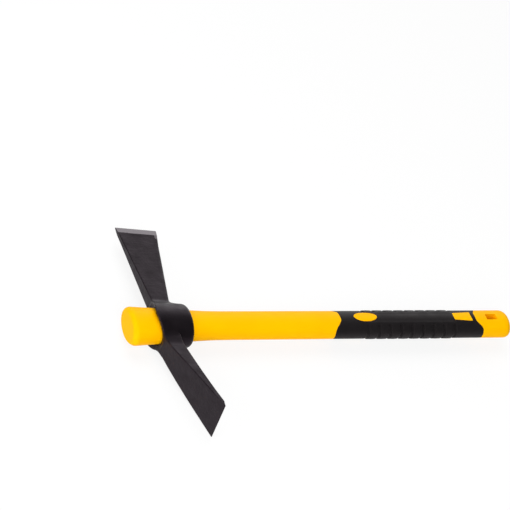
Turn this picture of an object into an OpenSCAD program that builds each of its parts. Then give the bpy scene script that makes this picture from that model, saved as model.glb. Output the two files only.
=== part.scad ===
// Cutter mattock: a forged axe and adze head on a short, double-moulded handle.
// Worked out along the tool's own axes: X runs down the handle from the eye's middle to the butt,
// Y points along the axe, Z across the tool. The whole tool then lies on its side.

/* [Handle] */
// Length of the handle from its head end to its butt
handle_len = 380; // [340:1:450]
// Height of the oval shaft
shaft_h = 29; // [27:0.5:31]
// Width of each oval section as a share of its height
oval = 0.69; // [0.64:0.01:0.76]
// Height of the flared end that wedges in the eye
head_end_h = 40; // [37:0.5:42]
// Length of the flare
flare_len = 77; // [70:1:100]
// Distance from the eye's middle to the head end
overhang = 42; // [38:0.5:55]
// Edge radius round the head end
head_end_r = 5; // [1:0.5:6]
// Edge radius round the butt
butt_r = 6; // [2:0.5:8]
// Diameter of the glass-fibre rod inside
core_d = 13; // [9:0.5:14]
// Length of the lanyard slot
slot_len = 11; // [6:0.5:14]
// Height of the lanyard slot
slot_h = 6.6; // [5:0.2:9]
// Distance from the butt to the middle of the slot
slot_from_butt = 19.5; // [16:0.5:20]

/* [Grip] */
// Distance from the butt to the grip's head end
grip_from_butt = 182.6; // [175:0.2:200]
// How far the jacket's tongue reaches over the grip's head end
tongue_len = 7; // [2:0.2:8]
// Distance from the butt to the tip of the arched gap at the grip's end
arch_from_butt = 36.6; // [34:0.2:38]
// Length of that gap
arch_len = 6.4; // [2:0.2:9]
// Thickness of the soft rubber
grip_t = 2.4; // [1.8:0.1:2.8]
// Number of ribs on each flank
ribs = 8; // [5:1:9]
// Distance from one rib to the next
rib_pitch = 11.15; // [9:0.05:11.2]
// Distance from the butt to the middle of the ribs
flank_from_butt = 105; // [103:0.2:108]
// Width of the groove between two ribs
groove_w = 1.9; // [1.5:0.1:4]
// Depth of the grooves below the shaft's surface
groove_depth = 1.1; // [0.3:0.1:1.2]
// How far the ribs stand above the shaft's surface
rib_rise = 0.4; // [0.2:0.1:0.8]
// Width of the smooth strip along each face
strip_w = 15; // [8:0.2:17]
// Length of the oval window
oval_window_len = 23.4; // [15:0.2:27]
// Height of the oval window
oval_window_h = 11; // [8:0.2:14]
// Distance from the butt to the middle of the oval window
oval_from_butt = 150; // [145:1:152]
// Length of the four-sided window
side_window_len = 18.6; // [12:0.2:22]
// Height of the four-sided window at its head end
side_window_head_h = 8.2; // [7:0.2:14]
// Height of the four-sided window at its butt end
side_window_butt_h = 11.4; // [7:0.2:15]
// Distance from the butt to the middle of the four-sided window
side_from_butt = 49.6; // [49:0.2:52]
// How far the windows sit off the handle's axis, towards the axe
window_y = 0.8; // [0.2:0.2:1.6]
// How far the windows stand above the shaft's surface
window_rise = 0.3; // [0.1:0.1:0.6]

/* [Eye] */
// Wall of the eye
eye_wall = 4.8; // [4:0.1:6]
// Room between the eye and the handle at rest
eye_gap = 0.45; // [0.45:0.05:0.6]
// Distance from the eye's middle to its rim on the grip side
eye_back = 14.3; // [11:0.1:17]
// Distance from the eye's middle to the crown of its arched front rim
eye_front = 19.4; // [17:0.2:23]
// Radius of the arch of the front rim
eye_arch_r = 45; // [40:1:90]
// Width of the bevel round the eye's mouth
eye_mouth_w = 2.6; // [1:0.1:3]
// Depth of that bevel
eye_mouth_depth = 2.6; // [1:0.1:3]
// Width of the eye's outside as a share of its height
eye_oval = 0.77; // [0.71:0.01:0.78]
// Edge radius round the eye's back rim
eye_rim_r = 3; // [1:0.5:4]

/* [Axe] */
// Distance of the front corner of the cutting edge from the handle's axis
axe_reach = 122.6; // [100:0.2:140]
// Distance of that corner in front of the eye's middle
axe_corner_front = 16.3; // [12:0.1:18]
// Length of the cutting edge
axe_edge_w = 39; // [30:0.2:45]
// Angle by which the cutting edge drops towards the grip
axe_edge_slant = 6; // [0:0.5:10]
// Width of the axe at its root
axe_root_w = 18.2; // [14:0.2:20]
// Distance of the root's front side from the eye's middle
axe_root_front = 13; // [11:0.1:14]
// Distance of the root from the handle's axis
axe_root_y = 29; // [27:0.5:34]
// Thickness at the root
axe_root_t = 12; // [8:0.2:13]
// Thickness where the ground bevel starts
axe_tip_t = 4; // [2.5:0.1:5]
// Height of the ground bevel
axe_bevel = 7.6; // [5:0.1:12]
// Radius of the fillet between the axe's sides and the eye
axe_fillet_r = 5; // [3:0.5:7]
// Distance from the handle's axis at which that fillet starts
axe_fillet_y = 24.4; // [23:0.2:26]

/* [Adze] */
// Distance of the cutting edge from the handle's axis
adze_reach = 112.8; // [90:0.2:130]
// Distance of the cutting edge behind the eye's middle
adze_edge_back = 7.6; // [2:0.2:12]
// Length of the cutting edge
adze_edge_w = 38.8; // [36:0.2:46]
// Distance of the root from the handle's axis
adze_root_y = 30; // [28:0.5:34]
// Width at the root
adze_root_w = 19.4; // [16:0.2:22]
// Distance of the root's outer face in front of the eye's middle
adze_root_front = 15.2; // [13:0.2:16]
// Thickness at the root
adze_root_t = 14.4; // [12:0.2:15]
// Thickness where the ground bevel starts
adze_tip_t = 3.1; // [2.5:0.1:5]
// Height of the ground bevel
adze_bevel = 6.5; // [4:0.5:10]
// How far the blade's grip side is hollowed between root and bevel
adze_hollow_depth = 1.6; // [0.2:0.1:2.4]
// How far each side of the blade swells between root and edge
adze_swell_w = 0.8; // [0.2:0.1:1.5]
// Radius of the fillet between the adze's sides and the eye
adze_fillet_r = 8; // [5:0.5:10]
// Distance from the handle's axis at which that fillet starts
adze_fillet_y = 22.6; // [21:0.2:24]
// Flat land left along both cutting edges
edge_land = 0.4; // [0.2:0.1:0.8]

/* [Hidden] */
$fn = 96;
// More than any distance across the tool, for shapes drawn right through it
through = 90;
// Points of a curve drawn step by step
curve_steps = 10;

head_end_x = -overhang;
butt_x = handle_len - overhang;
shaft_r = shaft_h / 2;
flare_end_x = head_end_x + flare_len;
flare_slope = (head_end_h - shaft_h) / 2 / flare_len;
// Length over which the flare eases into the straight shaft
flare_ease = 12;
slot_x = butt_x - slot_from_butt;
slot_corner_r = 1.2;
// Jacket left beyond each end of the rod
core_cover = 7;
core_x = [head_end_x + core_cover, slot_x - slot_len / 2 - core_cover];

grip_x = [butt_x - grip_from_butt, butt_x - arch_from_butt + arch_len];
// Stretch of each face over which the tongue keeps its full length, towards the adze and towards the axe
tongue_low_y = 2;
tongue_high_y = 6;
// Distance from the handle's axis at which it ends towards the axe
tongue_end_y = 15;
// Distance from the handle's axis at which the arched gap leaves its tip, and those at which it ends
arch_tip_y = 3.5;
arch_low_y = 13;
arch_high_y = 16;
oval_x = butt_x - oval_from_butt;
side_x = butt_x - side_from_butt;
ribs_x = butt_x - flank_from_butt - ribs * rib_pitch / 2;
// How far the sides of a rib lean in
rib_lean = 0.8;

// Straight taper of the eye, which follows the flared handle
eye_taper = (handle_r(-eye_front) - handle_r(eye_back)) / (eye_front + eye_back);
// Angle by which the fillets of the blades turn
fillet_turn = 42;
// Length over which they then run on into the eye
fillet_run = 10;

// Place of the tool's bounding box on its own axes
box_mid = [handle_len / 2 - overhang, (axe_reach - adze_reach) / 2];
box_bottom = -adze_edge_w / 2;

// Lays a piece down where the tool rests
module lay() {
    translate([-box_mid[0], -box_mid[1], -box_bottom])
        children();
}

// Turns a profile of [place along the handle, radius] points and squashes it to an oval,
// as two half turns that meet in the plane where the mould parts
module turned(profile, share) {
    for (side = [0, 1])
        mirror([0, 0, side])
            scale([1, 1, share])
                rotate([0, 90, 0])
                    rotate(90)
                        rotate_extrude(angle = 180)
                            polygon([for (p = profile) [p[1], p[0]]]);
}

// Draws a shape of [Y, Z] points along X
module along_x() {
    rotate([90, 0, 90])
        linear_extrude(through, center = true)
            children();
}

// Draws a shape of [X, Y] points across the tool
module across() {
    linear_extrude(through, center = true)
        children();
}

function smoothstep(t) = t * t * (3 - 2 * t);

function reversed(list) = [for (i = [len(list) - 1:-1:0]) list[i]];

// Radius of the handle before it is squashed: a straight taper eased into the shaft
function handle_r(x) =
    let (d = flare_end_x - x)
    shaft_r + flare_slope * (d + sqrt(d * d + flare_ease * flare_ease)) / 2;

// Quarter round from a side of radius r to an end face at x; inward is the way into the piece along X
function rounded_end(x, r, edge, inward) =
    [for (i = [0:curve_steps])
        let (a = 90 * i / curve_steps)
        [x + inward * edge * (1 - sin(a)), r - edge * (1 - cos(a))]];

function handle_profile() =
    let (bend = [flare_end_x - 2.5 * flare_ease, flare_end_x + 2.5 * flare_ease])
    concat(
        [[head_end_x, 0]],
        reversed(rounded_end(head_end_x, handle_r(head_end_x + head_end_r), head_end_r, 1)),
        [for (i = [0:curve_steps])
            let (x = bend[0] + (bend[1] - bend[0]) * i / curve_steps)
            [x, handle_r(x)]],
        rounded_end(butt_x, shaft_r, butt_r, -1),
        [[butt_x, 0]]
    );

// Stretch of plain rod
function rod_profile(ends, r) = [[ends[0], 0], [ends[0], r], [ends[1], r], [ends[1], 0]];

// One side of the arched gap, from its tip to the grip's straight end
function arch(end_y) =
    [for (i = [0:curve_steps])
        let (t = i / curve_steps)
        [butt_x - arch_from_butt + arch_len * smoothstep(t), arch_tip_y + (end_y - arch_tip_y) * t]];

// Grip as seen on each face: stepped round the tongue at the head end, arched round a gap at the butt end
module grip_outline() {
    tongue_x = grip_x[0] + tongue_len;
    low_side = [for (i = [0:curve_steps])
        let (t = i / curve_steps)
        [grip_x[0] + tongue_len * smoothstep(t), (shaft_r - tongue_low_y) * t - shaft_r]];
    high_side = [for (i = [0:curve_steps])
        let (t = i / curve_steps)
        [tongue_x - tongue_len * smoothstep(t), tongue_high_y + (tongue_end_y - tongue_high_y) * t]];
    polygon(concat(
        [[grip_x[0], -shaft_h]],
        low_side,
        high_side,
        [[grip_x[0], shaft_h], [grip_x[1], shaft_h]],
        reversed(arch(arch_high_y)),
        [for (p = arch(arch_low_y)) [p[0], -p[1]]],
        [[grip_x[1], -shaft_h]]
    ));
}

module windows_outline() {
    translate([oval_x, window_y])
        scale([oval_window_len / oval_window_h, 1])
            circle(d = oval_window_h);
    translate([side_x, window_y])
        polygon([
            [-side_window_len / 2, -side_window_head_h / 2],
            [side_window_len / 2, -side_window_butt_h / 2],
            [side_window_len / 2, side_window_butt_h / 2],
            [-side_window_len / 2, side_window_head_h / 2]
        ]);
}

module slot_outline() {
    inner = [slot_len - 2 * slot_corner_r, slot_h - 2 * slot_corner_r];
    square([slot_len, inner[1]], center = true);
    square([inner[0], slot_h], center = true);
    for (x = [-1, 1], y = [-1, 1])
        translate([x * inner[0] / 2, y * inner[1] / 2])
            circle(slot_corner_r, $fn = 32);
}

// Jacket under the grip
module grip_bed() {
    turned(rod_profile([grip_x[0], grip_x[1] + arch_len], shaft_r - grip_t), oval);
}

module core() {
    translate([core_x[0], 0])
        rotate([0, 90, 0])
            cylinder(core_x[1] - core_x[0], d = core_d);
}

// Yellow body of the handle, with the windows that stand through the grip
module jacket() {
    color("#ffbe00")
        lay()
            difference() {
                union() {
                    difference() {
                        turned(handle_profile(), oval);
                        across() grip_outline();
                    }
                    grip_bed();
                    intersection() {
                        turned(rod_profile(grip_x, shaft_r + window_rise), oval);
                        across() windows_outline();
                    }
                }
                core();
                translate([slot_x, 0])
                    across() slot_outline();
            }
}

// Pultruded rod that the jacket is moulded round
module core_rod() {
    color("#d9d4c2")
        lay()
            core();
}

// Ribbed flank, groove by groove
function ribbed_profile() =
    let (
        groove_r = shaft_r - groove_depth,
        rib_r = shaft_r + rib_rise,
        half_groove = groove_w / 2,
        half_mouth = half_groove + rib_lean,
        ends = [grip_x[0], grip_x[1] + arch_len]
    )
    concat(
        [[ends[0], 0], [ends[0], shaft_r]],
        [for (i = [0:ribs])
            let (x = ribs_x + i * rib_pitch)
            each [
                [x - half_mouth, i == 0 ? shaft_r : rib_r],
                [x - half_groove, groove_r],
                [x + half_groove, groove_r],
                [x + half_mouth, i == ribs ? shaft_r : rib_r]
            ]],
        [[ends[1], shaft_r], [ends[1], 0]]
    );

// Band that holds the smooth strips of both faces
module strip_band() {
    translate([grip_x[0], -strip_w / 2, -through / 2])
        cube([handle_len, strip_w, through]);
}

// Soft sleeve moulded over the jacket
module grip() {
    color("#2b292b")
        lay()
            difference() {
                intersection() {
                    union() {
                        difference() {
                            turned(ribbed_profile(), oval);
                            strip_band();
                        }
                        intersection() {
                            turned(rod_profile([grip_x[0], grip_x[1] + arch_len], shaft_r), oval);
                            strip_band();
                        }
                    }
                    across() grip_outline();
                }
                grip_bed();
                across() windows_outline();
            }
}

// Radius of the eye's hole before it is squashed, a straight taper that follows the flared handle
function eye_r(x) = handle_r(eye_back) + eye_taper * (eye_back - x) + eye_gap;

// Outside of the eye, with an arched front rim and a rounded back rim
module eye_body() {
    back_r = eye_r(eye_back) + eye_wall;
    front_r = eye_r(-eye_front) + eye_wall;
    intersection() {
        turned(concat(
            [[-eye_front, 0], [-eye_front, front_r]],
            rounded_end(eye_back, back_r, eye_rim_r, -1),
            [[eye_back, 0]]
        ), eye_oval);
        across()
            translate([eye_arch_r - eye_front, 0])
                circle(eye_arch_r, $fn = 180);
    }
}

// Hole for the handle, which a bevel widens towards its mouth
module eye_hole() {
    bevel_x = eye_mouth_depth - eye_front;
    bevel_slope = eye_mouth_w / eye_mouth_depth;
    ends = [-eye_front - eye_mouth_depth, 2 * eye_back];
    turned([
        [ends[0], 0],
        [ends[0], eye_r(bevel_x) + bevel_slope * (bevel_x - ends[0])],
        [bevel_x, eye_r(bevel_x)],
        [ends[1], eye_r(ends[1])],
        [ends[1], 0]
    ], oval);
}

// Root of a blade: from half thickness h at place y a fillet of radius r widens it,
// and it runs on from there into the eye
module filleted_root(y, h, r) {
    reach = r * sin(fillet_turn);
    wide = h + r * (1 - cos(fillet_turn));
    difference() {
        translate([y - reach - fillet_run, -wide])
            square([reach + fillet_run, 2 * wide]);
        for (side = [-1, 1])
            translate([y, side * (h + r)])
                circle(r, $fn = 180);
    }
}

// Axe: its side outline crossed with a wedge whose lines run parallel to the cutting edge
module axe() {
    corner = [-axe_corner_front, axe_reach];
    along_edge = [cos(axe_edge_slant), -sin(axe_edge_slant)];
    edge_y = corner * [sin(axe_edge_slant), cos(axe_edge_slant)];
    bevel_y = edge_y - axe_bevel;
    root_x = [-axe_root_front, axe_root_w - axe_root_front];
    intersection() {
        across()
            polygon([
                [root_x[0], 0],
                [root_x[0], axe_root_y],
                corner,
                corner + axe_edge_w * along_edge,
                [root_x[1], axe_root_y],
                [root_x[1], 0]
            ]);
        union() {
            rotate(-axe_edge_slant)
                along_x()
                    polygon([
                        [0, -axe_root_t / 2],
                        [axe_root_y, -axe_root_t / 2],
                        [bevel_y, -axe_tip_t / 2],
                        [edge_y, -edge_land / 2],
                        [edge_y, edge_land / 2],
                        [bevel_y, axe_tip_t / 2],
                        [axe_root_y, axe_root_t / 2],
                        [0, axe_root_t / 2]
                    ]);
            along_x()
                filleted_root(axe_fillet_y, axe_root_t / 2, axe_fillet_r);
        }
    }
}

// Adze: its side outline, hollowed and ground on the grip side, crossed with its swelling front outline
module adze() {
    bevel_y = adze_reach - adze_bevel;
    outer_lean = (adze_root_front + adze_edge_back - edge_land) / (adze_reach - adze_root_y);
    outer_x = function (y) outer_lean * (y - adze_root_y) - adze_root_front;
    inner_root_x = adze_root_t - adze_root_front;
    inner_side = [for (i = [0:curve_steps])
        let (
            t = i / curve_steps,
            y = bevel_y + (adze_root_y - bevel_y) * t,
            thickness = adze_tip_t + (adze_root_t - adze_tip_t) * t - 4 * adze_hollow_depth * t * (1 - t)
        )
        [outer_x(y) + thickness, -y]];
    high_side = [for (i = [0:curve_steps])
        let (t = i / curve_steps)
        [
            adze_root_y + (adze_reach - adze_root_y) * t,
            (adze_root_w + (adze_edge_w - adze_root_w) * t) / 2 + 4 * adze_swell_w * t * (1 - t)
        ]];
    low_side = [for (p = reversed(high_side)) [p[0], -p[1]]];
    intersection() {
        across()
            polygon(concat(
                [
                    [-adze_root_front, 0],
                    [-adze_root_front, -adze_root_y],
                    [outer_x(adze_reach), -adze_reach],
                    [adze_edge_back, -adze_reach]
                ],
                inner_side,
                [[inner_root_x, 0]]
            ));
        mirror([0, 1, 0])
            along_x() {
                polygon(concat(
                    [[0, adze_root_w / 2]],
                    high_side,
                    low_side,
                    [[0, -adze_root_w / 2]]
                ));
                filleted_root(adze_fillet_y, adze_root_w / 2, adze_fillet_r);
            }
    }
}

// One forging: axe, eye and adze
module head() {
    color("#3a3538")
        lay()
            difference() {
                union() {
                    eye_body();
                    axe();
                    adze();
                }
                eye_hole();
            }
}

head();
jacket();
grip();
core_rod();
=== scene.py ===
import math

import bmesh
import bpy
import numpy as np
from mathutils import Matrix, Vector


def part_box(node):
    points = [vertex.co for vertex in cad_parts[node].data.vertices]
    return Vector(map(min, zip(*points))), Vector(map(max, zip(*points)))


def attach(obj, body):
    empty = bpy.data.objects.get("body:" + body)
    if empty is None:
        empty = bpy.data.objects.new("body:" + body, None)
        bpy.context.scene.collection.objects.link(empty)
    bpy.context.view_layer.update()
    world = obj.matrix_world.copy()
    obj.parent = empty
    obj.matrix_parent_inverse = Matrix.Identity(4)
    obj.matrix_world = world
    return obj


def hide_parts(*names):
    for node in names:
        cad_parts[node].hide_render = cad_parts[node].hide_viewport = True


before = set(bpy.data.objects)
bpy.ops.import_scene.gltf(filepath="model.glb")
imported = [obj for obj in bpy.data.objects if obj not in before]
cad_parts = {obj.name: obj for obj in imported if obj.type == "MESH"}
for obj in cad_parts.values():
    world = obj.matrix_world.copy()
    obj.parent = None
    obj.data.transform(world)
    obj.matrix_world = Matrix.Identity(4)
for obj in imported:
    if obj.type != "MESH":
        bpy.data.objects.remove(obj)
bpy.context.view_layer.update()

# Rod: the pultruded glass-fibre core of the handle, pale cream and streaked along its length.
# The jacket is moulded round it, so it is seen only where the handle is cut open.
MM_PER_M = 1000


def linear(code):
    """Linear RGBA of an sRGB hex colour."""
    channels = [int(code[i:i + 2], 16) / 255 for i in (1, 3, 5)]
    return [c / 12.92 if c <= 0.04045 else ((c + 0.055) / 1.055) ** 2.4 for c in channels] + [1.0]


def per_mm(size):
    """Texture scale at which one cell of a pattern is that many millimetres wide."""
    return MM_PER_M / size


def add_node(tree, kind, inputs, **settings):
    """Adds a node: each input takes a value, or the output that is linked to it."""
    node = tree.nodes.new(kind)
    for name, value in settings.items():
        setattr(node, name, value)
    for name, value in inputs.items():
        if isinstance(value, bpy.types.NodeSocket):
            tree.links.new(value, node.inputs[name])
        else:
            node.inputs[name].default_value = value
    return node


# Sockets of a colour Mix node
MIX_FACTOR, MIX_FROM, MIX_TO, MIX_RESULT = 0, 6, 7, 2


def new_material(name):
    """Empty material, with its tree and its output node."""
    material = bpy.data.materials.new(name)
    material.use_nodes = True
    material.node_tree.nodes.clear()
    output = material.node_tree.nodes.new("ShaderNodeOutputMaterial")
    return material, material.node_tree, output


# Pultruded glass fibre in polyester: long pale streaks, dull where it was pulled through the die
STREAK_LEN, STREAK_W = 60, 0.8
glass_fibre, tree, output = new_material("glass_fibre_pultruded")
place = add_node(tree, "ShaderNodeTexCoord", {})
stretched = add_node(tree, "ShaderNodeMapping", {
    "Vector": place.outputs["Object"], "Scale": (STREAK_W / STREAK_LEN, 1, 1),
})
streaks = add_node(tree, "ShaderNodeTexNoise", {
    "Vector": stretched.outputs["Vector"], "Scale": per_mm(STREAK_W), "Detail": 3.0,
})
colour = add_node(tree, "ShaderNodeMix", {
    MIX_FACTOR: streaks.outputs["Fac"], MIX_FROM: linear("#c9c2a8"), MIX_TO: linear("#e8e3d2"),
}, data_type="RGBA")
relief = add_node(tree, "ShaderNodeBump", {
    "Height": streaks.outputs["Fac"], "Strength": 0.3, "Distance": 0.0001,
})
surface = add_node(tree, "ShaderNodeBsdfPrincipled", {
    "Base Color": colour.outputs[MIX_RESULT], "Roughness": 0.55, "Normal": relief.outputs["Normal"],
})
tree.links.new(surface.outputs["BSDF"], output.inputs["Surface"])
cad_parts["core_rod"].data.materials.clear()
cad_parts["core_rod"].data.materials.append(glass_fibre)

# Jacket: the yellow body of the handle, polypropylene injection-moulded round the rod. Its flared end wedges
# in the eye, two raised windows on each face stand through the grip, and a lanyard slot pierces the butt.

# Millimetres on the tool's own axes: X down the handle from the eye's middle, Y along the axe, Z across.
# An R is the half height of an oval section, and its half width is a share of that.
OVERHANG = 42
HEAD_END = -OVERHANG
BUTT = 338
SHAFT_R = 14.5
HEAD_END_R = 20
HANDLE_OVAL = 0.69
FLARE_LEN, FLARE_EASE = 77, 12
HEAD_END_EDGE, HEAD_END_STEPS = 5, 7
BUTT_EDGE, BUTT_STEPS = 6, 9
AROUND = 128

jacket_low, jacket_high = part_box("jacket")
eye_middle = Vector((
    jacket_low.x + OVERHANG / MM_PER_M,
    (jacket_low.y + jacket_high.y) / 2,
    (jacket_low.z + jacket_high.z) / 2,
))
angle = np.arange(AROUND) / AROUND * 2 * math.pi


def handle_r(x):
    """Half height of the handle: a straight flare that eases into the shaft."""
    slope = (HEAD_END_R - SHAFT_R) / FLARE_LEN
    to_shaft = HEAD_END + FLARE_LEN - x
    return SHAFT_R + slope * (to_shaft + np.hypot(to_shaft, FLARE_EASE)) / 2


def smoothstep(share):
    """Eased rise from 0 to 1."""
    share = np.clip(share, 0, 1)
    return share * share * (3 - 2 * share)


def oval_ring(x, r):
    """Ring of points on an oval section; x may differ from point to point, and so may r."""
    return np.column_stack([
        np.broadcast_to(x, angle.shape), r * np.cos(angle), HANDLE_OVAL * r * np.sin(angle),
    ])


def quarter_round(edge, steps):
    """Way along and way in, from the face at the end of a rounded edge to its side."""
    turn = np.linspace(0, math.pi / 2, steps)
    return list(zip(edge * (1 - np.cos(turn)), edge * (1 - np.sin(turn))))


def edge_rings(face_x, way, r, edge, steps):
    """Rings over a rounded edge, from the end face to the side that lies that way along X, 1 or -1."""
    return [oval_ring(face_x + way * along, r - inward) for along, inward in quarter_round(edge, steps)]


def ring_faces(rings, closed=False):
    """Quads between rings that follow each other; a closed run joins the last ring to the first."""
    count, around = len(rings), len(rings[0])
    faces = []
    for i in range(count if closed else count - 1):
        here, following = i * around, (i + 1) % count * around
        for j in range(around):
            k = (j + 1) % around
            faces.append((here + j, here + k, following + k, following + j))
    return faces


def capped_faces(rings):
    """Quads between rings, with a flat face in the first and the last."""
    around = len(rings[0])
    last = (len(rings) - 1) * around
    return ring_faces(rings) + [tuple(range(around - 1, -1, -1)), tuple(range(last, last + around))]


def add_piece(name, points, faces, *materials):
    """Smooth mesh object from millimetre points on the tool's axes."""
    mesh = bpy.data.meshes.new(name)
    mesh.from_pydata([eye_middle + Vector(p) / MM_PER_M for p in points], [], faces)
    mesh.shade_smooth()
    for material in materials:
        mesh.materials.append(material)
    piece = bpy.data.objects.new(name, mesh)
    bpy.context.scene.collection.objects.link(piece)
    return piece


# Where the grip begins and ends: on each face the jacket reaches into it with a tongue and with an arch
GRIP_START = BUTT - 182.6
TONGUE_LEN, TONGUE_LOW, TONGUE_HIGH, TONGUE_END = 7, 2, 6, 15
ARCH_TIP, ARCH_LEN = BUTT - 36.6, 6.4
ARCH_FROM, ARCH_LOW, ARCH_HIGH = 3.5, 13, 16
GRIP_T = 2.4
LIP, LIP_STEPS = 0.45, 4

side_y = SHAFT_R * np.cos(angle)
grip_start = GRIP_START + TONGUE_LEN * smoothstep((side_y + SHAFT_R) / (SHAFT_R - TONGUE_LOW))
grip_start = grip_start - TONGUE_LEN * smoothstep((side_y - TONGUE_HIGH) / (TONGUE_END - TONGUE_HIGH))
arch_side = np.where(side_y < 0, ARCH_LOW, ARCH_HIGH)
grip_end = ARCH_TIP + ARCH_LEN * smoothstep((np.abs(side_y) - ARCH_FROM) / (arch_side - ARCH_FROM))

# Rings along the shaft, close before the grip, close past it and along the butt
SHAFT_FROM, SHAFT_TO, SHAFT_RINGS = HEAD_END + 7, GRIP_START - 10, 50
BEFORE_GRIP = (6, 3, 1.2)
PAST_GRIP = (1.2, 2)
BUTT_FROM, BUTT_TO, BUTT_RINGS = BUTT - 26, BUTT - BUTT_EDGE - 1, 14

end_r = handle_r(HEAD_END + HEAD_END_EDGE)
jacket_rings = [oval_ring(HEAD_END, end_r / 2)]
jacket_rings += edge_rings(HEAD_END, 1, end_r, HEAD_END_EDGE, HEAD_END_STEPS)
jacket_rings += [oval_ring(x, handle_r(x)) for x in np.linspace(SHAFT_FROM, SHAFT_TO, SHAFT_RINGS)]
jacket_rings += [oval_ring(grip_start - back, SHAFT_R) for back in BEFORE_GRIP]
jacket_rings += edge_rings(grip_start, -1, SHAFT_R, LIP, LIP_STEPS)[::-1]
jacket_rings += [oval_ring(x, SHAFT_R - GRIP_T) for x in (grip_start, grip_end)]
jacket_rings += edge_rings(grip_end, 1, SHAFT_R, LIP, LIP_STEPS)
jacket_rings += [oval_ring(grip_end + beyond, SHAFT_R) for beyond in PAST_GRIP]
jacket_rings += [oval_ring(x, SHAFT_R) for x in np.linspace(BUTT_FROM, BUTT_TO, BUTT_RINGS)]
jacket_rings += edge_rings(BUTT, -1, SHAFT_R, BUTT_EDGE, BUTT_STEPS)[::-1]
jacket_rings.append(oval_ring(BUTT, (SHAFT_R - BUTT_EDGE) / 2))


def four_corners(x, y, length, head_h, butt_h):
    """Corners of an outline round (x, y), as high at its head end and at its butt end as given."""
    head_x, butt_x = x - length / 2, x + length / 2
    return [
        (head_x, y - head_h / 2), (butt_x, y - butt_h / 2),
        (butt_x, y + butt_h / 2), (head_x, y + head_h / 2),
    ]


def rounded_corners(corners, radius, steps=6):
    """Outline of a convex polygon, counter-clockwise, with its corners rounded."""
    outline = []
    for i, corner in enumerate(corners):
        before = Vector(corners[i - 1]) - Vector(corner)
        after = Vector(corners[(i + 1) % len(corners)]) - Vector(corner)
        back = radius / math.tan(before.angle(after) / 2)
        start = Vector(corner) + before.normalized() * back
        end = Vector(corner) + after.normalized() * back
        for t in np.linspace(0, 1, steps):
            outline.append((1 - t) ** 2 * start + 2 * t * (1 - t) * Vector(corner) + t * t * end)
    return np.array(outline)


def prism(outline, half):
    """Rings of an upright prism through the tool."""
    return [np.column_stack([outline, np.full(len(outline), z)]) for z in (-half, half)]


def cut_away(piece, rings):
    """Cuts a prism out of a piece and leaves its mesh clean of modifiers."""
    cutter = add_piece("cutter", np.concatenate(rings), capped_faces(rings))
    cut = piece.modifiers.new("cut", "BOOLEAN")
    cut.operation, cut.solver, cut.object = "DIFFERENCE", "EXACT", cutter
    uncut = piece.data
    piece.data = bpy.data.meshes.new_from_object(piece.evaluated_get(bpy.context.evaluated_depsgraph_get()))
    piece.modifiers.clear()
    bpy.data.objects.remove(cutter)
    bpy.data.meshes.remove(uncut)


# Edges that turn by more than this are rounded
SHARP = math.radians(50)


def round_edges(piece, radius, steps):
    """Rounds the sharp edges of a piece."""
    rounding = piece.modifiers.new("rounding", "BEVEL")
    rounding.width, rounding.segments = radius / MM_PER_M, steps
    rounding.limit_method, rounding.angle_limit = "ANGLE", SHARP
    rounding.harden_normals = True


# Range that a noise texture mostly keeps to
NOISE_LOW, NOISE_HIGH = 0.3, 0.7

# Polypropylene, moulded: an even satin yellow with a weak sheen, faintly mottled. It has a spark-eroded
# grain, drawn coarser than life so that it shows, and the thin line where the halves of the mould met.
MOTTLE, MOULD_GRAIN, SCUFF = 22, 0.9, 9
PARTING_W = 0.35
polypropylene, tree, output = new_material("polypropylene_moulded")
place = add_node(tree, "ShaderNodeTexCoord", {})
mottle = add_node(tree, "ShaderNodeTexNoise", {
    "Vector": place.outputs["Object"], "Scale": per_mm(MOTTLE), "Detail": 4.0,
})
scuffs = add_node(tree, "ShaderNodeTexNoise", {
    "Vector": place.outputs["Object"], "Scale": per_mm(SCUFF), "Detail": 8.0, "Roughness": 0.7,
})
grain = add_node(tree, "ShaderNodeTexNoise", {
    "Vector": place.outputs["Object"], "Scale": per_mm(MOULD_GRAIN), "Detail": 2.0,
})
colour = add_node(tree, "ShaderNodeMix", {
    MIX_FACTOR: mottle.outputs["Fac"], MIX_FROM: linear("#fbb200"), MIX_TO: linear("#ffbc00"),
}, data_type="RGBA")
gloss = add_node(tree, "ShaderNodeMapRange", {
    "Value": scuffs.outputs["Fac"], "From Min": NOISE_LOW, "From Max": NOISE_HIGH,
    "To Min": 0.44, "To Max": 0.58,
})
axes = add_node(tree, "ShaderNodeSeparateXYZ", {"Vector": place.outputs["Object"]})
off_parting = add_node(tree, "ShaderNodeMath", {0: axes.outputs["Z"], 1: eye_middle.z}, operation="SUBTRACT")
from_parting = add_node(tree, "ShaderNodeMath", {0: off_parting.outputs["Value"]}, operation="ABSOLUTE")
parting = add_node(tree, "ShaderNodeMapRange", {
    "Value": from_parting.outputs["Value"], "From Max": PARTING_W / MM_PER_M, "To Min": 1.0, "To Max": 0.0,
}, interpolation_type="SMOOTHSTEP")
grain_relief = add_node(tree, "ShaderNodeBump", {
    "Height": grain.outputs["Fac"], "Strength": 0.25, "Distance": 0.00005,
})
relief = add_node(tree, "ShaderNodeBump", {
    "Height": parting.outputs["Result"], "Strength": 0.5, "Distance": 0.0001,
    "Normal": grain_relief.outputs["Normal"],
})
surface = add_node(tree, "ShaderNodeBsdfPrincipled", {
    "Base Color": colour.outputs[MIX_RESULT], "Roughness": gloss.outputs["Result"], "IOR": 1.49,
    "Specular IOR Level": 0.04, "Normal": relief.outputs["Normal"],
})
tree.links.new(surface.outputs["BSDF"], output.inputs["Surface"])

jacket = add_piece("handle_jacket", np.concatenate(jacket_rings), capped_faces(jacket_rings), polypropylene)

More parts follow.
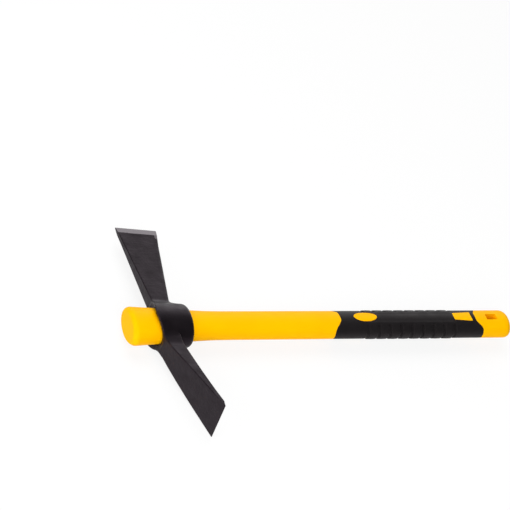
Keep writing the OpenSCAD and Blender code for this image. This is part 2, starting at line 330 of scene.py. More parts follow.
# Lanyard slot: right through the butt, with a rounded rim
THROUGH = 2 * SHAFT_R
SLOT_X, SLOT_LEN, SLOT_H = BUTT - 19.5, 11, 6.6
SLOT_CORNER = 1.2
SLOT_EDGE, SLOT_EDGE_STEPS = 0.8, 4
slot = rounded_corners(four_corners(SLOT_X, 0, SLOT_LEN, SLOT_H, SLOT_H), SLOT_CORNER)
cut_away(jacket, prism(slot, THROUGH))

# Windows: low pads on each face, an oval one and one that widens towards the butt
WINDOW_RISE, WINDOW_ROOT = 0.3, 0.3
WINDOW_EDGE, WINDOW_EDGE_STEPS = 0.6, 5
WINDOW_INSETS = (0.3, 0.5, 0.7, 0.9)
WINDOW_Y = 0.8
OVAL_X, OVAL_LEN, OVAL_H = BUTT - 150, 23.4, 11
OVAL_POINTS = 64
SIDE_X, SIDE_LEN, SIDE_HEAD_H, SIDE_BUTT_H = BUTT - 49.6, 18.6, 8.2, 11.4
SIDE_CORNER = 1.0
turn = np.linspace(0, 2 * math.pi, OVAL_POINTS, endpoint=False)
oval_window = np.column_stack([OVAL_X + OVAL_LEN / 2 * np.cos(turn), WINDOW_Y + OVAL_H / 2 * np.sin(turn)])
side_window = rounded_corners(four_corners(SIDE_X, WINDOW_Y, SIDE_LEN, SIDE_HEAD_H, SIDE_BUTT_H), SIDE_CORNER)


def drawn_in(outline, inset):
    """Outline drawn in towards its middle, or out from it where the inset is negative."""
    middle, half = outline.mean(0), np.ptp(outline, 0) / 2
    return middle + (outline - middle) * (1 - inset / half)


def window_pad(outline, side):
    """Rings of a raised pad on one face, from inside the jacket up over its rounded edge."""
    top_r = SHAFT_R + WINDOW_RISE
    half_height = np.ptp(outline[:, 1]) / 2

    def ring(inset, r):
        """Outline drawn in and laid on an oval section."""
        flat = drawn_in(outline, inset)
        return np.column_stack([flat, side * HANDLE_OVAL * np.sqrt(r * r - flat[:, 1] ** 2)])[::side]

    rings = [ring(0, SHAFT_R - GRIP_T - WINDOW_ROOT)]
    rings += [ring(along, top_r - inward) for along, inward in quarter_round(WINDOW_EDGE, WINDOW_EDGE_STEPS)]
    rings += [ring(share * half_height, top_r) for share in WINDOW_INSETS]
    return rings


moulding = bmesh.new()
moulding.from_mesh(jacket.data)
for outline in (oval_window, side_window):
    for side in (1, -1):
        rings = window_pad(outline, side)
        pad = add_piece("pad", np.concatenate(rings), capped_faces(rings), polypropylene)
        moulding.from_mesh(pad.data)
        bpy.data.objects.remove(pad)
moulding.to_mesh(jacket.data)
moulding.free()
round_edges(jacket, SLOT_EDGE, SLOT_EDGE_STEPS)
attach(jacket, "handle")
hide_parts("jacket")

# Grip: a soft thermoplastic-rubber sleeve moulded over the jacket in a second shot. Both flanks are ribbed,
# a smooth strip runs along each face, and holes let the jacket's windows through.
RIBS, RIB_PITCH, RIBS_MIDDLE = 8, 11.15, BUTT - 105
FIRST_GROOVE = RIBS_MIDDLE - RIBS * RIB_PITCH / 2
LAST_GROOVE = FIRST_GROOVE + RIBS * RIB_PITCH
GROOVE_W, GROOVE_DEPTH = 2.2, 1.4
GROOVE_FROM, GROOVE_EASE = 7.6, 1.2
RIB_RISE, RIB_LEAN, RIB_CROWN = 0.4, 0.7, 0.15
STRIP_W, STRIP_EASE = 8.6, 1.8
WINDOW_GAP = 0.15
HOLE_RIM, HOLE_RIM_STEPS = 0.4, 3

flank = smoothstep((np.abs(side_y) - STRIP_W / 2) / STRIP_EASE)
grooved = smoothstep((np.abs(side_y) - GROOVE_FROM) / GROOVE_EASE)


def grip_rise(x):
    """Height of the grip above the shaft, all round the handle at x."""
    nearest = np.clip(np.round((x - FIRST_GROOVE) / RIB_PITCH), 0, RIBS)
    off = abs(x - FIRST_GROOVE - nearest * RIB_PITCH)
    ribbed = FIRST_GROOVE <= x <= LAST_GROOVE
    crown = RIB_CROWN * (off / RIB_PITCH * 2) ** 2
    top = flank * (RIB_RISE + crown if ribbed else 0)
    return top - grooved * (top + GROOVE_DEPTH) * (1 - smoothstep((off - GROOVE_W / 2) / RIB_LEAN))


# Rings across each groove with its walls, over each rib's crown, and on the plain ends of the grip
WALL_FROM, WALL_TO, WALL_RINGS = 0.85, 1.85, 6
SHOULDER = 2.4
CROWN_STEP = 1.2
PLAIN_FROM, PLAIN_TO, PLAIN_RINGS = 170, 182, 4
PAST_RIBS = (294.5, 297)
BY_LIP = (1.2, 3)
groove_side = np.append(np.linspace(WALL_FROM, WALL_TO, WALL_RINGS), SHOULDER)
grip_x = [*np.linspace(PLAIN_FROM, PLAIN_TO, PLAIN_RINGS), *PAST_RIBS]
for groove in range(RIBS + 1):
    groove_x = FIRST_GROOVE + groove * RIB_PITCH
    grip_x += [groove_x, *(groove_x - groove_side), *(groove_x + groove_side)]
for rib in range(RIBS):
    crown_x = FIRST_GROOVE + (rib + 0.5) * RIB_PITCH
    grip_x += [crown_x - CROWN_STEP, crown_x, crown_x + CROWN_STEP]

grip_rings = [oval_ring(grip_start, SHAFT_R - GRIP_T)]
grip_rings += edge_rings(grip_start, 1, SHAFT_R, LIP, LIP_STEPS)
grip_rings += [oval_ring(grip_start + beyond, SHAFT_R) for beyond in BY_LIP]
grip_rings += [oval_ring(x, SHAFT_R + grip_rise(x)) for x in sorted(grip_x)]
grip_rings += [oval_ring(grip_end - back, SHAFT_R) for back in reversed(BY_LIP)]
grip_rings += edge_rings(grip_end, -1, SHAFT_R, LIP, LIP_STEPS)[::-1]
grip_rings.append(oval_ring(grip_end, SHAFT_R - GRIP_T))

# Thermoplastic rubber, moulded: nearly black and matt, with a leathery grain that is drawn coarser than life
# so that it shows
RUBBER_GRAIN, RUBBER_PATCH = 0.8, 14
rubber, tree, output = new_material("thermoplastic_rubber_moulded")
place = add_node(tree, "ShaderNodeTexCoord", {})
pebble = add_node(tree, "ShaderNodeTexVoronoi", {
    "Vector": place.outputs["Object"], "Scale": per_mm(RUBBER_GRAIN),
})
patch = add_node(tree, "ShaderNodeTexNoise", {
    "Vector": place.outputs["Object"], "Scale": per_mm(RUBBER_PATCH), "Detail": 5.0,
})
colour = add_node(tree, "ShaderNodeMix", {
    MIX_FACTOR: patch.outputs["Fac"], MIX_FROM: linear("#161415"), MIX_TO: linear("#1d1b1c"),
}, data_type="RGBA")
gloss = add_node(tree, "ShaderNodeMapRange", {
    "Value": patch.outputs["Fac"], "From Min": NOISE_LOW, "From Max": NOISE_HIGH,
    "To Min": 0.5, "To Max": 0.62,
})
relief = add_node(tree, "ShaderNodeBump", {
    "Height": pebble.outputs["Distance"], "Strength": 0.35, "Distance": 0.00012,
})
surface = add_node(tree, "ShaderNodeBsdfPrincipled", {
    "Base Color": colour.outputs[MIX_RESULT], "Roughness": gloss.outputs["Result"],
    "Specular IOR Level": 0.23, "Specular Tint": linear("#ffeff2"), "Normal": relief.outputs["Normal"],
})
tree.links.new(surface.outputs["BSDF"], output.inputs["Surface"])

grip = add_piece("handle_grip", np.concatenate(grip_rings), ring_faces(grip_rings, closed=True), rubber)
for outline in (oval_window, side_window):
    cut_away(grip, prism(drawn_in(outline, -WINDOW_GAP), THROUGH))
round_edges(grip, HOLE_RIM, HOLE_RIM_STEPS)
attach(grip, "handle")
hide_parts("grip")

# Head: one drop forging in carbon steel with an axe blade, an oval eye and an adze blade, its edges rounded
# by the dies. It is lacquered dark all over except for the ground cutting edges, and wedges on the handle's
# flare.

# Eye: a collar that tapers with the handle, with an arched front rim and a mouth that opens inside it
EYE_GAP, EYE_WALL, EYE_OVAL = 0.45, 4.8, 0.77
EYE_BACK, EYE_FRONT = 14.3, 19.4
EYE_ARCH_R = 45
MOUTH_DEPTH, MOUTH_ARCH_R = 2.6, 28
RIM_EDGE, FRONT_RIM_EDGE, RIM_EASE = 4, 1.4, 10
HOLE_EDGE = 0.8
eye_back_r, eye_front_r = handle_r(EYE_BACK), handle_r(-EYE_FRONT)

# Both blades: their rounded edges get finer over the last stretch to the cutting edge, which is a narrow land
BLADE_EDGE, EDGE_LAND = 0.8, 0.4
TIP_LEN, TIP_SHARE = 20, 0.1

# Axe: it tapers from its root to the bevel, and its edge slants
AXE_CORNER = np.array([-16.3, 122.6])
AXE_EDGE_W, AXE_EDGE_SLANT = 39, math.radians(6)
AXE_ROOT_Y, AXE_ROOT_FRONT, AXE_ROOT_BACK = 29, -13, 5.2
AXE_ROOT_T, AXE_TIP_T, AXE_BEVEL = 12, 4, 7.6
AXE_BACK_EDGE = 3
AXE_FILLET, AXE_FRONT_FILLET = 5.5, 2
axe_edge_dir = np.array([math.cos(AXE_EDGE_SLANT), -math.sin(AXE_EDGE_SLANT)])
axe_up_dir = np.array([math.sin(AXE_EDGE_SLANT), math.cos(AXE_EDGE_SLANT)])
axe_back_corner = AXE_CORNER + AXE_EDGE_W * axe_edge_dir
axe_edge_at = AXE_CORNER @ axe_up_dir
axe_bevel_at = axe_edge_at - AXE_BEVEL
axe_taper = (AXE_TIP_T - AXE_ROOT_T) / 2 / (axe_bevel_at - AXE_ROOT_Y)
axe_grind = (AXE_TIP_T - EDGE_LAND) / 2 / AXE_BEVEL

# Adze: it leans back and widens outwards, with swelling sides that flare at the root, a hollow back,
# a slightly bowed front and an inner bevel
ADZE_REACH, ADZE_EDGE_X, ADZE_EDGE_W = 112.8, 7.6, 38.8
ADZE_ROOT_Y, ADZE_ROOT_W, ADZE_ROOT_FRONT = 30, 19.4, -15.2
ADZE_ROOT_T, ADZE_TIP_T, ADZE_BEVEL = 14.4, 3.3, 6.5
ADZE_HOLLOW, ADZE_SWELL, ADZE_BOW = 1.2, 0.8, 0.35
ADZE_FILLET, ADZE_LEAST_FILLET, ADZE_FILLET_FROM = 3.2, 1, 19
ADZE_FLARE, ADZE_FLARE_LEN = 0.5, 10
ADZE_BEND, ADZE_FRONT_FILLET = 2, 8
adze_outer_x = ADZE_EDGE_X - EDGE_LAND
adze_lean = (adze_outer_x - ADZE_ROOT_FRONT) / (ADZE_REACH - ADZE_ROOT_Y)
adze_bevel_y = ADZE_BEVEL - ADZE_REACH
adze_bevel_x = adze_outer_x - adze_lean * ADZE_BEVEL + ADZE_TIP_T


def soft_max(a, b, width):
    """Larger of two distances, rounded over a width where they are nearly equal."""
    return np.maximum(a, b) + np.maximum(width - np.abs(a - b), 0) ** 2 / (4 * width)


def soft_min(a, b, width):
    """Smaller of two distances, rounded over a width where they are nearly equal."""
    return -soft_max(-a, -b, width)


def hump(share):
    """Rise from 0 to 1 at halfway and back to 0."""
    return 4 * share * (1 - share)


def left_of(x, y, start, end):
    """Distance to the left of the line from start to end."""
    along = np.subtract(end, start)
    return (along[0] * (y - start[1]) - along[1] * (x - start[0])) / np.hypot(*along)


def past_axe_front(x, y):
    """Distance outside the axe's front side."""
    return left_of(x, y, (AXE_ROOT_FRONT, AXE_ROOT_Y), AXE_CORNER)


def past_axe_back(x, y):
    """Distance outside the axe's back side."""
    return left_of(x, y, axe_back_corner, (AXE_ROOT_BACK, AXE_ROOT_Y))


def past_adze_bevel(x, y):
    """Distance outside the adze's bevel."""
    return left_of(x, y, (adze_bevel_x, adze_bevel_y), (ADZE_EDGE_X, -ADZE_REACH))


def out_along_adze(y):
    """Share of the way from the adze's root to its edge."""
    return np.clip((-y - ADZE_ROOT_Y) / (ADZE_REACH - ADZE_ROOT_Y), 0, 1)


def box_distance(a, b):
    """Distance outside a corner whose two sides are a and b away."""
    return np.hypot(np.maximum(a, 0), np.maximum(b, 0)) + np.minimum(np.maximum(a, b), 0)


def oval_distance(y, z, r, oval):
    """Distance outside an oval of half height r, its half width a share of that; true near the oval only."""
    tiny = 1e-9
    outward = np.hypot(y / r, z / (oval * r))
    slope = np.hypot(y / r ** 2, z / (oval * r) ** 2)
    return outward * (outward - 1) / np.maximum(slope, tiny)


def axe_distance(x, y, z, height, tip):
    """Distance outside the axe blade, apart from its front side."""
    half = np.minimum(
        AXE_ROOT_T / 2 + axe_taper * (height - AXE_ROOT_Y),
        EDGE_LAND / 2 + axe_grind * (axe_edge_at - height),
    )
    blade = soft_max(np.abs(z) - half, past_axe_back(x, y), AXE_BACK_EDGE * tip)
    return np.maximum(np.maximum(blade, height - axe_edge_at), -y)


def adze_distance(x, y, z, collar, tip):
    """Distance outside the adze blade and the collar that it grows from, apart from its front side."""
    up_blade = np.clip((y - adze_bevel_y) / (-ADZE_ROOT_Y - adze_bevel_y), 0, 1)
    thickness = ADZE_TIP_T + (ADZE_ROOT_T - ADZE_TIP_T) * up_blade - ADZE_HOLLOW * hump(up_blade)
    front_x = ADZE_ROOT_FRONT + adze_lean * np.maximum(-y - ADZE_ROOT_Y, 0)
    inner = np.maximum(x - front_x - thickness, past_adze_bevel(x, y))
    out_blade = out_along_adze(y)
    half = (ADZE_ROOT_W + (ADZE_EDGE_W - ADZE_ROOT_W) * out_blade) / 2 + ADZE_SWELL * hump(out_blade)
    half += ADZE_FLARE * smoothstep(1 + (y + ADZE_FILLET_FROM) / ADZE_FLARE_LEN)
    fillet = ADZE_LEAST_FILLET + (ADZE_FILLET - ADZE_LEAST_FILLET) * smoothstep(-inner / ADZE_FILLET)
    blade = soft_min(collar, box_distance(np.abs(z) - half, y + ADZE_FILLET_FROM), fillet)
    return soft_max(np.maximum(blade, -y - ADZE_REACH), inner, BLADE_EDGE * tip)


def front_distance(x, y, hole):
    """Distance before the front of the head: the eye's rim and mouth, and the front sides of both blades."""
    rim = np.hypot(x + EYE_FRONT - EYE_ARCH_R, y) - EYE_ARCH_R
    mouth = np.hypot(x + EYE_FRONT - MOUTH_DEPTH - MOUTH_ARCH_R, y) - MOUTH_ARCH_R
    arch = np.maximum(rim, rim + (mouth - rim) * np.clip(1 - hole / EYE_WALL, 0, 1))
    adze_front = left_of(x, y, (adze_outer_x, -ADZE_REACH), (ADZE_ROOT_FRONT, -ADZE_ROOT_Y))
    adze_front = soft_max(ADZE_ROOT_FRONT - x, adze_front - ADZE_BOW * hump(out_along_adze(y)), ADZE_BEND)
    front = soft_min(arch, np.maximum(past_axe_front(x, y), -y), AXE_FRONT_FILLET)
    return soft_min(front, np.maximum(adze_front, y), ADZE_FRONT_FILLET)


def head_distance(points):
    """Distance outside the forging, roughly true near its skin."""
    x, y, z = np.moveaxis(points, -1, 0)
    to_front = (EYE_BACK - x) / (EYE_BACK + EYE_FRONT)
    hole_r = eye_back_r + (eye_front_r - eye_back_r) * to_front + EYE_GAP
    collar_r = hole_r + EYE_WALL
    hole = oval_distance(y, z, hole_r, HANDLE_OVAL)
    collar = soft_max(oval_distance(y, z, collar_r, EYE_OVAL), x - EYE_BACK, RIM_EDGE)

    height = x * axe_up_dir[0] + y * axe_up_dir[1]
    tip = np.clip(np.minimum(axe_edge_at - height, y + ADZE_REACH) / TIP_LEN, TIP_SHARE, 1)
    axe = axe_distance(x, y, z, height, tip)
    solid = np.minimum(soft_min(collar, axe, AXE_FILLET), adze_distance(x, y, z, collar, tip))

    by_eye = smoothstep((collar_r + RIM_EASE / 2 - np.abs(y)) / RIM_EASE)
    front_edge = BLADE_EDGE * tip + (FRONT_RIM_EDGE - BLADE_EDGE * tip) * by_eye
    return soft_max(soft_max(solid, front_distance(x, y, hole), front_edge), -hole, HOLE_EDGE)


# Lattice that follows the forging from the axe's edge to the adze's, so that thin edges get as many cells as
# thick roots. Each row has its two ends in X and Y, with room for air beside the forging, and its half depth
# in Z. ROW_CELLS counts the layers of cells from each row to the next.
ROOM, TIP_ROOM = 2.2, 0.8
AXE_EDGE_DEPTH, AXE_BEVEL_DEPTH, AXE_BLADE_DEPTH, AXE_NECK_DEPTH = 0.8, 1, 3, 8
AXE_BLADE_FRONT, AXE_BLADE_BACK = (-17.6, 110.8), (23, 107)
AXE_NECK_Y, EYE_SIDE_Y, EYE_DEPTH = 38, 26, 19
ADZE_NECK_Y, ADZE_NECK_DEPTH, ADZE_DEPTH = -40, 13.7, 21
BEVEL_ROOM, EDGE_ROOM, END_ROOM = 2, 1.2, 1
ROW_CELLS = (6, 24, 40, 14, 80, 14, 40, 20, 6, 1)
ACROSS, DEEP = 64, 48


def level_row(y, front_x, back_x, depth):
    """Row of the lattice straight along the handle at one Y."""
    return (front_x, y), (back_x, y), depth


over_edge = TIP_ROOM * axe_up_dir
beside_edge = 2 * TIP_ROOM * axe_edge_dir
adze_neck_back = ADZE_ROOT_FRONT + ADZE_ROOT_T + 2 * ROOM
adze_bevel_front = adze_bevel_x - ADZE_TIP_T - ROOM
rows = [
    (AXE_CORNER + over_edge - beside_edge, axe_back_corner + over_edge + beside_edge, AXE_EDGE_DEPTH),
    (AXE_CORNER - over_edge - beside_edge, axe_back_corner - over_edge + beside_edge, AXE_BEVEL_DEPTH),
    (AXE_BLADE_FRONT, AXE_BLADE_BACK, AXE_BLADE_DEPTH),
    level_row(AXE_NECK_Y, AXE_ROOT_FRONT - ROOM, AXE_ROOT_BACK + 2 * ROOM, AXE_NECK_DEPTH),
    level_row(EYE_SIDE_Y, -EYE_FRONT - ROOM, EYE_BACK + ROOM, EYE_DEPTH),
    level_row(-EYE_SIDE_Y, -EYE_FRONT - ROOM, EYE_BACK + ROOM, EYE_DEPTH),
    level_row(ADZE_NECK_Y, ADZE_ROOT_FRONT - ROOM, adze_neck_back, ADZE_NECK_DEPTH),
    level_row(adze_bevel_y + BEVEL_ROOM, adze_bevel_front, adze_bevel_x + ROOM, ADZE_DEPTH),
    level_row(-ADZE_REACH + TIP_ROOM, adze_outer_x - EDGE_ROOM, ADZE_EDGE_X + EDGE_ROOM, ADZE_DEPTH),
    level_row(-ADZE_REACH - TIP_ROOM, adze_outer_x - END_ROOM, ADZE_EDGE_X + END_ROOM, ADZE_DEPTH),
]
share = np.linspace(0, 1, ACROSS + 1)[:, None]
layers = []
for cells, here, following in zip(ROW_CELLS, rows, rows[1:] + rows[-1:]):
    for step in range(cells):
        front, back, depth = [
            np.add(near, np.subtract(far, near) * step / cells) for near, far in zip(here, following)
        ]
        layer = np.empty((ACROSS + 1, DEEP + 1, 3))
        layer[:, :, :2] = (front + share * (back - front))[:, None]
        layer[:, :, 2] = depth * np.linspace(-1, 1, DEEP + 1)
        layers.append(layer)
lattice = np.stack(layers[::-1], 1)


def skin_of(distance, lattice):
    """Quads on the surface where a distance is zero, with one point in each lattice cell that it crosses."""
    value = distance(lattice)
    cells = tuple(n - 1 for n in value.shape)
    total, count = np.zeros(cells + (3,)), np.zeros(cells)
    quads = []
    for axis in range(3):
        # Lattice edges along this axis, from near ends to far ends, and where the surface cuts them
        first, second = (axis + 1) % 3, (axis + 2) % 3
        near, far = [slice(None)] * 3, [slice(None)] * 3
        near[axis], far[axis] = slice(None, -1), slice(1, None)
        near, far = tuple(near), tuple(far)
        crossed = (value[near] < 0) != (value[far] < 0)
        part = np.where(crossed, value[near] / np.where(crossed, value[near] - value[far], 1), 0)[..., None]
        crossing = (lattice[near] + part * (lattice[far] - lattice[near])) * crossed[..., None]
        # Each cell's point is the mean of the crossings on its edges
        for i in (0, 1):
            for j in (0, 1):
                window = [slice(None)] * 3
                window[first], window[second] = slice(i, cells[first] + i), slice(j, cells[second] + j)
                total += crossing[tuple(window)]
                count += crossed[tuple(window)]
        # Each edge that is cut gives a quad between the four cells round it, wound to face outwards
        for place in np.argwhere(crossed):
            corners = []
            for i, j in ((1, 1), (0, 1), (0, 0), (1, 0)):
                corner = place.copy()
                corner[first] -= i
                corner[second] -= j
                corners.append(tuple(corner))
            quads.append(corners if value[tuple(place)] < 0 else corners[::-1])
    number = np.full(cells, -1)
    used = count > 0
    number[used] = np.arange(used.sum())
    return total[used] / count[used][:, None], [[int(number[c]) for c in quad] for quad in quads]


def drawn_to_skin(distance, points, passes=3, reach=0.02):
    """Points moved onto the surface where a distance is zero."""
    for _ in range(passes):
        slope = np.stack([
            (distance(points + reach * axis) - distance(points - reach * axis)) / (2 * reach)
            for axis in np.eye(3)
        ], -1)
        points = points - (distance(points) / np.sum(slope * slope, -1))[:, None] * slope
    return points


points, faces = skin_of(head_distance, lattice)
points = drawn_to_skin(head_distance, points)

# Lacquered forged steel: a dark mauve-brown lacquer over scale, pitted and slightly wavy, with rolling marks
# across the blades, and rubbed paler along the edges
SCALE_PITS, LACQUER_PATCH, FORGE_WAVE = 1.6, 10, 5
ROLL_MARK, ROLL_LEN = 2.2, 16
lacquered_steel, tree, output = new_material("carbon_steel_forged_lacquered")
place = add_node(tree, "ShaderNodeTexCoord", {})
pits = add_node(tree, "ShaderNodeTexNoise", {
    "Vector": place.outputs["Object"], "Scale": per_mm(SCALE_PITS), "Detail": 6.0, "Roughness": 0.6,
})
wave = add_node(tree, "ShaderNodeTexNoise", {
    "Vector": place.outputs["Object"], "Scale": per_mm(FORGE_WAVE), "Detail": 2.0,
})
rolled = add_node(tree, "ShaderNodeMapping", {
    "Vector": place.outputs["Object"], "Scale": (ROLL_MARK / ROLL_LEN, 1, 1),
})
marks = add_node(tree, "ShaderNodeTexNoise", {
    "Vector": rolled.outputs["Vector"], "Scale": per_mm(ROLL_MARK), "Detail": 3.0, "Distortion": 0.6,
})
patch = add_node(tree, "ShaderNodeTexNoise", {
    "Vector": place.outputs["Object"], "Scale": per_mm(LACQUER_PATCH), "Detail": 5.0,
})
lacquer = add_node(tree, "ShaderNodeMix", {
    MIX_FACTOR: patch.outputs["Fac"], MIX_FROM: linear("#100e10"), MIX_TO: linear("#181517"),
}, data_type="RGBA")
form = add_node(tree, "ShaderNodeNewGeometry", {})
edge = add_node(tree, "ShaderNodeMapRange", {
    "Value": form.outputs["Pointiness"], "From Min": 0.52, "From Max": 0.6,
})
worn = add_node(tree, "ShaderNodeMath", {
    0: edge.outputs["Result"], 1: pits.outputs["Fac"],
}, operation="MULTIPLY")
colour = add_node(tree, "ShaderNodeMix", {
    MIX_FACTOR: worn.outputs["Value"], MIX_FROM: lacquer.outputs[MIX_RESULT], MIX_TO: linear("#4a4448"),
}, data_type="RGBA")
gloss = add_node(tree, "ShaderNodeMapRange", {
    "Value": patch.outputs["Fac"], "From Min": NOISE_LOW, "From Max": NOISE_HIGH,
    "To Min": 0.32, "To Max": 0.54,
})
wave_relief = add_node(tree, "ShaderNodeBump", {
    "Height": wave.outputs["Fac"], "Strength": 0.3, "Distance": 0.0006,
})
mark_relief = add_node(tree, "ShaderNodeBump", {
    "Height": marks.outputs["Fac"], "Strength": 0.3, "Distance": 0.0003,
    "Normal": wave_relief.outputs["Normal"],
})
relief = add_node(tree, "ShaderNodeBump", {
    "Height": pits.outputs["Fac"], "Strength": 0.4, "Distance": 0.00015,
    "Normal": mark_relief.outputs["Normal"],
})
surface = add_node(tree, "ShaderNodeBsdfPrincipled", {
    "Base Color": colour.outputs[MIX_RESULT], "Roughness": gloss.outputs["Result"],
    "Specular IOR Level": 0.18, "Specular Tint": linear("#ffd2f6"), "Normal": relief.outputs["Normal"],
})
tree.links.new(surface.outputs["BSDF"], output.inputs["Surface"])

# Ground steel: bare bright bevels with lines that run up to the cutting edge, drawn coarser than life so that
# they show
GRIND_LINE, GRIND_LEN = 0.5, 12
ground_steel, tree, output = new_material("carbon_steel_ground")
place = add_node(tree, "ShaderNodeTexCoord", {})
stretched = add_node(tree, "ShaderNodeMapping", {
    "Vector": place.outputs["Object"], "Scale": (1, GRIND_LINE / GRIND_LEN, 1),
})
lines = add_node(tree, "ShaderNodeTexNoise", {
    "Vector": stretched.outputs["Vector"], "Scale": per_mm(GRIND_LINE), "Detail": 4.0,
})
colour = add_node(tree, "ShaderNodeMix", {
    MIX_FACTOR: lines.outputs["Fac"], MIX_FROM: linear("#514c50"), MIX_TO: linear("#6f696d"),
}, data_type="RGBA")
gloss = add_node(tree, "ShaderNodeMapRange", {
    "Value": lines.outputs["Fac"], "From Min": NOISE_LOW, "From Max": NOISE_HIGH,
    "To Min": 0.28, "To Max": 0.42,
})
relief = add_node(tree, "ShaderNodeBump", {
    "Height": lines.outputs["Fac"], "Strength": 0.25, "Distance": 0.00004,
})
surface = add_node(tree, "ShaderNodeBsdfPrincipled", {
    "Base Color": colour.outputs[MIX_RESULT], "Metallic": 1.0, "Roughness": gloss.outputs["Result"],
    "Normal": relief.outputs["Normal"],
})
tree.links.new(surface.outputs["BSDF"], output.inputs["Surface"])

# Where the steel is bare: the adze's bevel, and the axe's bevel short of its front side, which reaches
# further down along the worn back corner
FRONT_SIDE = 0.3
CORNER_WEAR, CORNER_WEAR_W = 5.5, 3
BEVEL_SKIN = 0.1
head = add_piece("head_forging", points, faces, lacquered_steel, ground_steel)
for face in head.data.polygons:
    x, y, _ = points[list(face.vertices)].mean(0)
    wear = CORNER_WEAR if past_axe_back(x, y) > -CORNER_WEAR_W else 0
    on_axe_bevel = x * axe_up_dir[0] + y * axe_up_dir[1] > axe_bevel_at - wear
    axe_ground = on_axe_bevel and past_axe_front(x, y) < -FRONT_SIDE
    adze_ground = y < adze_bevel_y and past_adze_bevel(x, y) > -BEVEL_SKIN
    face.material_index = int(axe_ground or adze_ground)
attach(head, "head")
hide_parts("head")

# Ground: a plain white table under the tool, which lies on its side. Straight to the eye and in reflections
# it is nearly white paper; it still takes the tool's soft shadow.
TABLE_SIZE = 6
SHADOW_SHARE = 0.14
corner = TABLE_SIZE / 2
table_mesh = bpy.data.meshes.new("table")
table_mesh.from_pydata([
    (-corner, -corner, 0), (corner, -corner, 0), (corner, corner, 0), (-corner, corner, 0),
], [], [(0, 1, 2, 3)])
table = bpy.data.objects.new("table", table_mesh)
bpy.context.scene.collection.objects.link(table)
paper, tree, output = new_material("paper_white")
ray = add_node(tree, "ShaderNodeLightPath", {})
seen = add_node(tree, "ShaderNodeMath", {
    0: ray.outputs["Is Camera Ray"], 1: ray.outputs["Is Glossy Ray"],
}, operation="MAXIMUM")
seen = add_node(tree, "ShaderNodeMath", {
    0: seen.outputs["Value"], 1: ray.outputs["Is Transmission Ray"],
}, operation="MAXIMUM")
white = add_node(tree, "ShaderNodeMath", {
    0: seen.outputs["Value"], 1: 1 - SHADOW_SHARE,
}, operation="MULTIPLY")
matt = add_node(tree, "ShaderNodeBsdfDiffuse", {"Color": linear("#f4f4f4")})
glow = add_node(tree, "ShaderNodeEmission", {"Color": linear("#ffffff"), "Strength": 1.0})
surface = add_node(tree, "ShaderNodeMixShader", {
    0: white.outputs["Value"], 1: matt.outputs["BSDF"], 2: glow.outputs["Emission"],
})
tree.links.new(surface.outputs["Shader"], output.inputs["Surface"])
table_mesh.materials.append(paper)

# Light: a bright bank behind the tool and a dim one before it in a dark studio, which shiny things mirror,
# and soft boxes that light the tool evenly. A bank is brightest round its middle and fades out to its edge.
DARK_LIGHT = 0.05
BRIGHT_BANK, BRIGHT_LIGHT = (0.44, 0.85, 0.2), 2.0
DIM_BANK, DIM_LIGHT = (-0.47, -0.67, 0.57), 0.5
MIDDLE_COSINE, EDGE_COSINE = 0.97, 0.75
world = bpy.data.worlds.new("studio")
world.use_nodes = True
bpy.context.scene.world = world
tree = world.node_tree
place = add_node(tree, "ShaderNodeTexCoord", {})
strength = DARK_LIGHT
for direction, light in ((BRIGHT_BANK, BRIGHT_LIGHT), (DIM_BANK, DIM_LIGHT)):
    towards_bank = add_node(tree, "ShaderNodeVectorMath", {
        0: place.outputs["Generated"], 1: Vector(direction).normalized(),
    }, operation="DOT_PRODUCT")
    bank = add_node(tree, "ShaderNodeMapRange", {
        "Value": towards_bank.outputs["Value"], "From Min": EDGE_COSINE, "From Max": MIDDLE_COSINE,
        "To Max": light - DARK_LIGHT,
    }, interpolation_type="SMOOTHSTEP")
    summed = add_node(tree, "ShaderNodeMath", {0: bank.outputs["Result"], 1: strength}, operation="ADD")
    strength = summed.outputs["Value"]
tree.nodes["Background"].inputs["Color"].default_value = linear("#ffffff")
tree.links.new(strength, tree.nodes["Background"].inputs["Strength"])


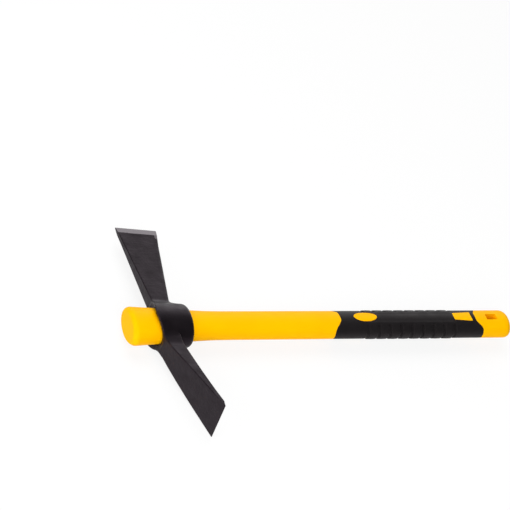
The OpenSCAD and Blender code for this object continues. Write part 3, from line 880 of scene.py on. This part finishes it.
def add_soft_box(name, place, size, power):
    """Square area lamp that faces the tool and isn't mirrored in shiny things."""
    lamp = bpy.data.lights.new(name, "AREA")
    lamp.size, lamp.energy = size, power
    box = bpy.data.objects.new(name, lamp)
    box.location = place
    box.visible_glossy = False
    box.rotation_euler = (-Vector(place)).to_track_quat("-Z", "Y").to_euler()
    bpy.context.scene.collection.objects.link(box)


add_soft_box("soft_box_over", place=(-0.2, 0.5, 1.4), size=1.2, power=15)
add_soft_box("soft_box_front", place=(-0.5, -1.2, 0.9), size=1.0, power=16)
add_soft_box("soft_box_end", place=(-1.6, -0.3, 0.6), size=1.0, power=10)

# Camera: the photograph's view, fitted to the outline of the tool. EYE_PIXEL is where the eye's middle falls
# in the picture, in pixels from its left and from its top.
PICTURE = 510
SENSOR = 36
DISTANCE = 2500
PIXELS_PER_MM = 1.15
EYE_PIXEL = (171.48, 325.95)
AZIMUTH, ELEVATION, ROLL = (math.radians(degrees) for degrees in (-34.56, 38.93, 23.73))
towards = Vector((
    math.sin(AZIMUTH) * math.cos(ELEVATION),
    -math.cos(AZIMUTH) * math.cos(ELEVATION),
    math.sin(ELEVATION),
))
level = Vector((math.cos(AZIMUTH), math.sin(AZIMUTH), 0))
upright = towards.cross(level)
right = math.cos(ROLL) * level + math.sin(ROLL) * upright
up = math.cos(ROLL) * upright - math.sin(ROLL) * level
aside = (PICTURE / 2 - EYE_PIXEL[0]) / PIXELS_PER_MM * right
above = (EYE_PIXEL[1] - PICTURE / 2) / PIXELS_PER_MM * up
camera_place = eye_middle + (aside + above + DISTANCE * towards) / MM_PER_M
camera_turn = Matrix((right, up, towards)).transposed().to_4x4()
camera_data = bpy.data.cameras.new("camera")
camera_data.sensor_width = SENSOR
camera_data.lens = PIXELS_PER_MM * DISTANCE * SENSOR / PICTURE
camera = bpy.data.objects.new("camera", camera_data)
camera.matrix_world = Matrix.Translation(camera_place) @ camera_turn
bpy.context.scene.collection.objects.link(camera)
bpy.context.scene.camera = camera
bpy.context.scene.view_settings.view_transform = "Standard"
